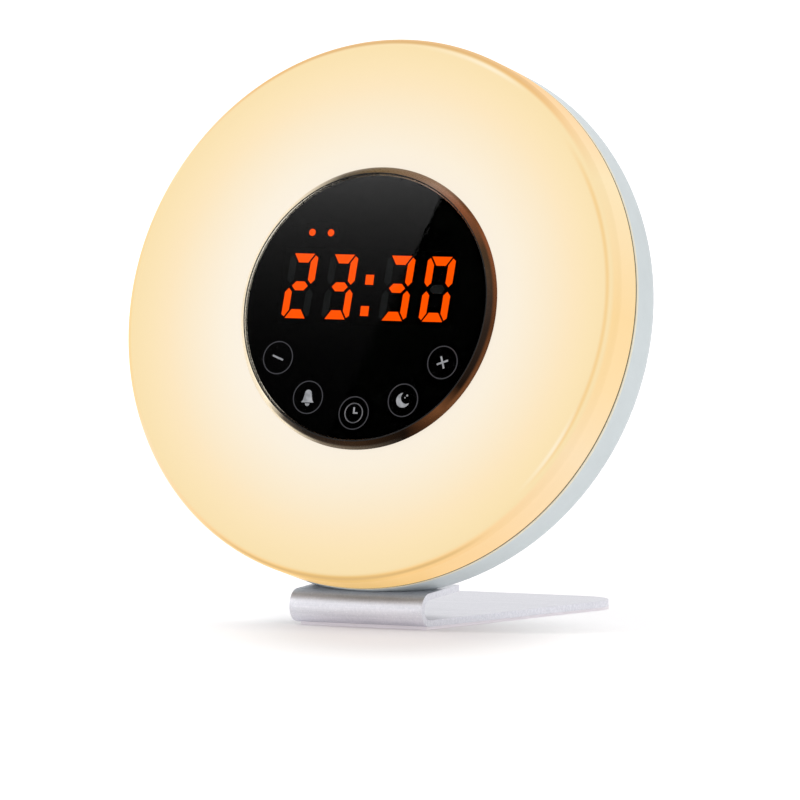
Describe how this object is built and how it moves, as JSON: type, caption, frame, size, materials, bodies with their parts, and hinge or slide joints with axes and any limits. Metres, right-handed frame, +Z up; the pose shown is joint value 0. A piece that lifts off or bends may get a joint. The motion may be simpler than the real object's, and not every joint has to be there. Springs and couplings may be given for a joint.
{
  "type": "sunrise alarm clock",
  "caption": "Round light head with a glowing front, black touch display and rear keys, leaning on a foot folded from aluminium sheet.",
  "frame": {"origin": "centre of the anti-slip pad's underside, on the table", "axes": "+Z up, -Y out of the display, X across the head"},
  "size_m": [0.17, 0.1234, 0.1796],
  "materials": {
    "diffuser": "satin, translucent",
    "housing": "satin",
    "keys": "satin",
    "reflector": "matt white",
    "led_board": "solder resist",
    "warm_led": "phosphor",
    "colour_led": "clear resin",
    "bezel": "bronze, satin",
    "glass": "polished",
    "mask": "printed black",
    "print": "printed grey",
    "lit": "lit",
    "dark": "unlit",
    "board": "solder resist",
    "screw": "zinc plated",
    "foam": "conductive foam",
    "chip": "moulded epoxy",
    "ribbon": "flat cable",
    "socket": "moulded",
    "can": "tinned",
    "capacitor": "sleeve",
    "switch": "moulded",
    "speaker": "black",
    "magnet": "sintered",
    "cone": "paper",
    "surround": "soft",
    "contact": "spring brass",
    "foot": "satin anodised",
    "pad": "matt, pale silicone"
  },
  "bodies": {
    "clock": {"front_diffuser": "diffuser", "rear_housing": "housing", "reflector_chassis": "reflector", "retainer_ring": "reflector", "led_ring_board": "led_board", "warm_leds": "warm_led", "colour_leds": "colour_led", "bezel_ring": "bezel", "front_glass": "glass", "mask_film": "mask", "display_module": "mask", "legend_print": "print", "lit_segments": "lit", "dark_segments": "dark", "display_board": "board", "main_board": "board", "display_screws": "screw", "board_screws": "screw", "housing_screws": "screw", "stand_screws": "screw", "speaker_clamps": "screw", "touch_pillars": "foam", "touch_chip": "chip", "main_chips": "chip", "led_header": "chip", "display_ribbon": "ribbon", "ribbon_sockets": "socket", "tuner_can": "can", "coin_cell": "can", "capacitors": "capacitor", "tact_switches": "switch", "power_jack": "switch", "speaker_frame": "speaker", "speaker_magnet": "magnet", "speaker_cone": "cone", "speaker_surround": "surround", "antenna_bush": "surround", "cell_contact": "contact", "stand": "foot", "desk_pad": "pad"},
    "light_push": {"light_key": "keys", "light_plunger": "switch"},
    "colour_push": {"colour_key": "keys", "colour_plunger": "switch"},
    "music_push": {"music_key": "keys", "music_plunger": "switch"},
    "radio_push": {"radio_key": "keys", "radio_plunger": "switch"},
    "cap": {"battery_cap": "housing"}
  },
  "joints": [
    {"name": "light_key_press", "type": "slide", "parent": "clock", "child": "light_push", "axis": [0, -0.9703, 0.2419], "range_m": [0, 0.0005], "stiffness_N_per_m": 3200},
    {"name": "colour_key_press", "type": "slide", "parent": "clock", "child": "colour_push", "axis": [0, -0.9703, 0.2419], "range_m": [0, 0.0005], "stiffness_N_per_m": 3200},
    {"name": "music_key_press", "type": "slide", "parent": "clock", "child": "music_push", "axis": [0, -0.9703, 0.2419], "range_m": [0, 0.0005], "stiffness_N_per_m": 3200},
    {"name": "radio_key_press", "type": "slide", "parent": "clock", "child": "radio_push", "axis": [0, -0.9703, 0.2419], "range_m": [0, 0.0005], "stiffness_N_per_m": 3200},
    {"name": "battery_cap_turn", "type": "hinge", "parent": "clock", "child": "cap", "pos_m": [-0.02403, -0.02352, 0.05581], "axis": [0, -0.9703, 0.2419], "range_deg": [0, 60]}
  ]
}
